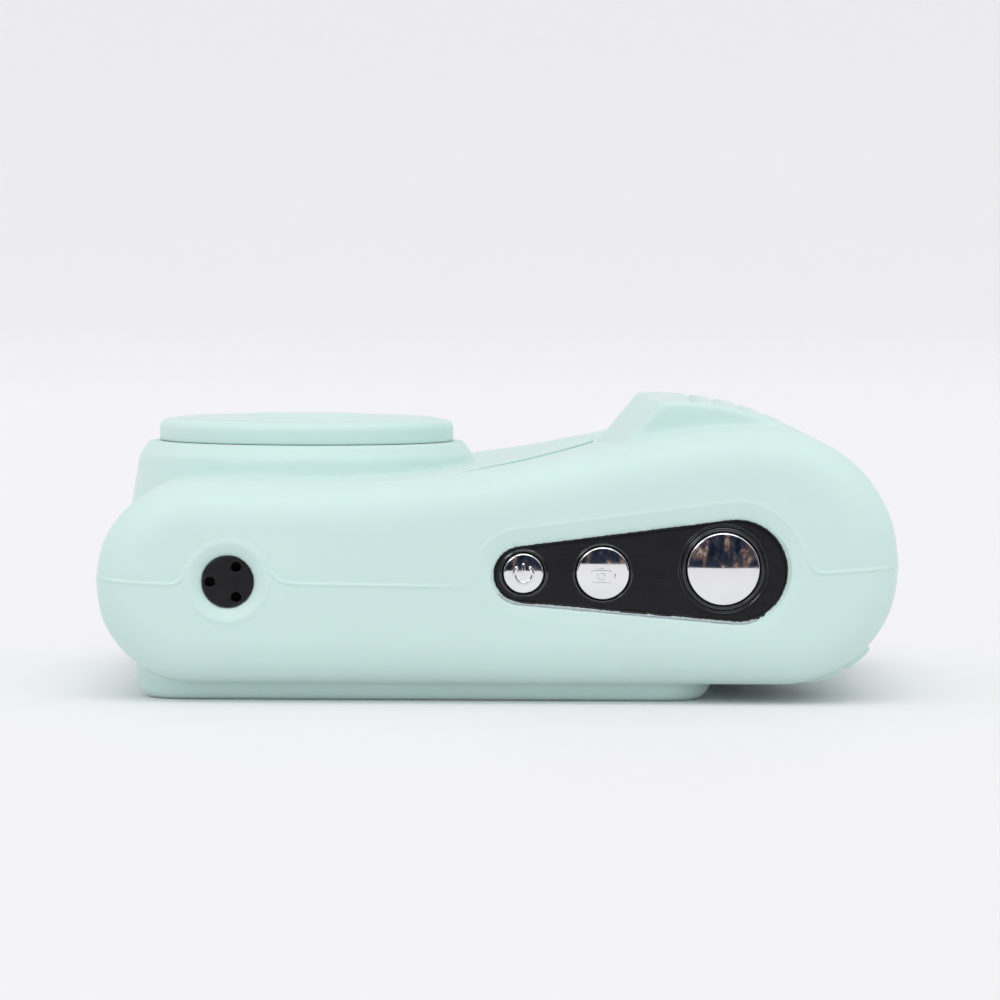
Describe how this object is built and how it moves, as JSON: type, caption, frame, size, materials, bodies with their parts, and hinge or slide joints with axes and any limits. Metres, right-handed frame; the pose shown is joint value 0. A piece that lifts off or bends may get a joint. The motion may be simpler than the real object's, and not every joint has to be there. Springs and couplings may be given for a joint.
{
  "type": "compact digital camera",
  "caption": "Pocket digital camera in a soft silicone sleeve, lying on its back, with a push-on lens cap, chromed top buttons, rear display and tripod socket.",
  "frame": {"origin": "middle of the footprint, on the plane that the rear plate rests on", "axes": "+X along the camera's width, towards its grip; +Y from its top face to its base; +Z the way the lens looks"},
  "size_m": [0.114, 0.078, 0.0432],
  "materials": {
    "silicone": "matte mint silicone, soft sheen",
    "black_shell": "fine moulded texture",
    "black_panel": "satin black, fine scratches",
    "chrome_button": "bright plated, domed",
    "screen_glass": "black printed border",
    "clear_glass": "coated optical glass",
    "filter_glass": "infrared filter",
    "white_button": "satin",
    "board_green": "solder mask",
    "chip": "moulded package",
    "steel": "bright steel",
    "brass": "machined",
    "inner_plastic": "moulded",
    "tray": "moulded",
    "cell_wrap": "foil pouch",
    "ribbon": "polyimide",
    "wire": "insulated lead",
    "card": "printed card"
  },
  "bodies": {
    "camera": {"battery": "cell_wrap", "battery_leads": "wire", "battery_tray": "tray", "board_chips": "chip", "board_screws": "steel", "button_board": "board_green", "button_board_screws": "steel", "button_ribbon": "ribbon", "card_socket": "steel", "display_bracket": "steel", "display_module": "inner_plastic", "display_ribbon": "ribbon", "display_window": "screen_glass", "dome_switches": "steel", "front_element": "clear_glass", "front_shell": "black_shell", "image_sensor": "chip", "ir_filter": "filter_glass", "lens_barrel": "inner_plastic", "lens_holder": "inner_plastic", "lens_trim_ring": "black_panel", "lens_window": "clear_glass", "main_board": "board_green", "microphone": "chip", "middle_element": "clear_glass", "rear_board_screws": "steel", "rear_button_board": "board_green", "rear_element": "clear_glass", "rear_shell": "black_shell", "sensor_board": "board_green", "sensor_board_screws": "steel", "sensor_ribbon": "ribbon", "shell_screws": "steel", "silicone_sleeve": "silicone", "speaker": "steel", "speaker_grille": "black_panel", "speaker_leads": "wire", "top_plate": "black_panel", "top_switches": "steel", "tripod_nut": "brass", "usb_socket": "steel"},
    "shutter": {"shutter_button": "chrome_button", "shutter_plunger": "inner_plastic"},
    "mode": {"mode_button": "chrome_button", "mode_plunger": "inner_plastic"},
    "power": {"power_button": "chrome_button", "power_plunger": "inner_plastic"},
    "cap": {"lens_cap": "silicone"},
    "card": {"memory_card": "card"},
    "menu_key": {"menu_button": "white_button"},
    "up_key": {"up_button": "white_button"},
    "ok_key": {"ok_button": "white_button"},
    "down_key": {"down_button": "white_button"}
  },
  "joints": [
    {"name": "shutter_press", "type": "slide", "parent": "camera", "child": "shutter", "axis": [0, 1, 0], "range_m": [0, 0.0008], "stiffness_N_per_m": 1200},
    {"name": "mode_press", "type": "slide", "parent": "camera", "child": "mode", "axis": [0, 1, 0], "range_m": [0, 0.0005], "stiffness_N_per_m": 1200},
    {"name": "power_press", "type": "slide", "parent": "camera", "child": "power", "axis": [0, 1, 0], "range_m": [0, 0.0005], "stiffness_N_per_m": 1200},
    {"name": "cap_pull", "type": "slide", "parent": "camera", "child": "cap", "axis": [0, 0, 1], "range_m": [0, 0.02]},
    {"name": "card_pull", "type": "slide", "parent": "camera", "child": "card", "axis": [0, 1, 0], "range_m": [0, 0.012]},
    {"name": "menu_press", "type": "slide", "parent": "camera", "child": "menu_key", "axis": [0, 0, 1], "range_m": [0, 0.0005], "stiffness_N_per_m": 900},
    {"name": "up_press", "type": "slide", "parent": "camera", "child": "up_key", "axis": [0, 0, 1], "range_m": [0, 0.0005], "stiffness_N_per_m": 900},
    {"name": "ok_press", "type": "slide", "parent": "camera", "child": "ok_key", "axis": [0, 0, 1], "range_m": [0, 0.0005], "stiffness_N_per_m": 900},
    {"name": "down_press", "type": "slide", "parent": "camera", "child": "down_key", "axis": [0, 0, 1], "range_m": [0, 0.0005], "stiffness_N_per_m": 900}
  ]
}
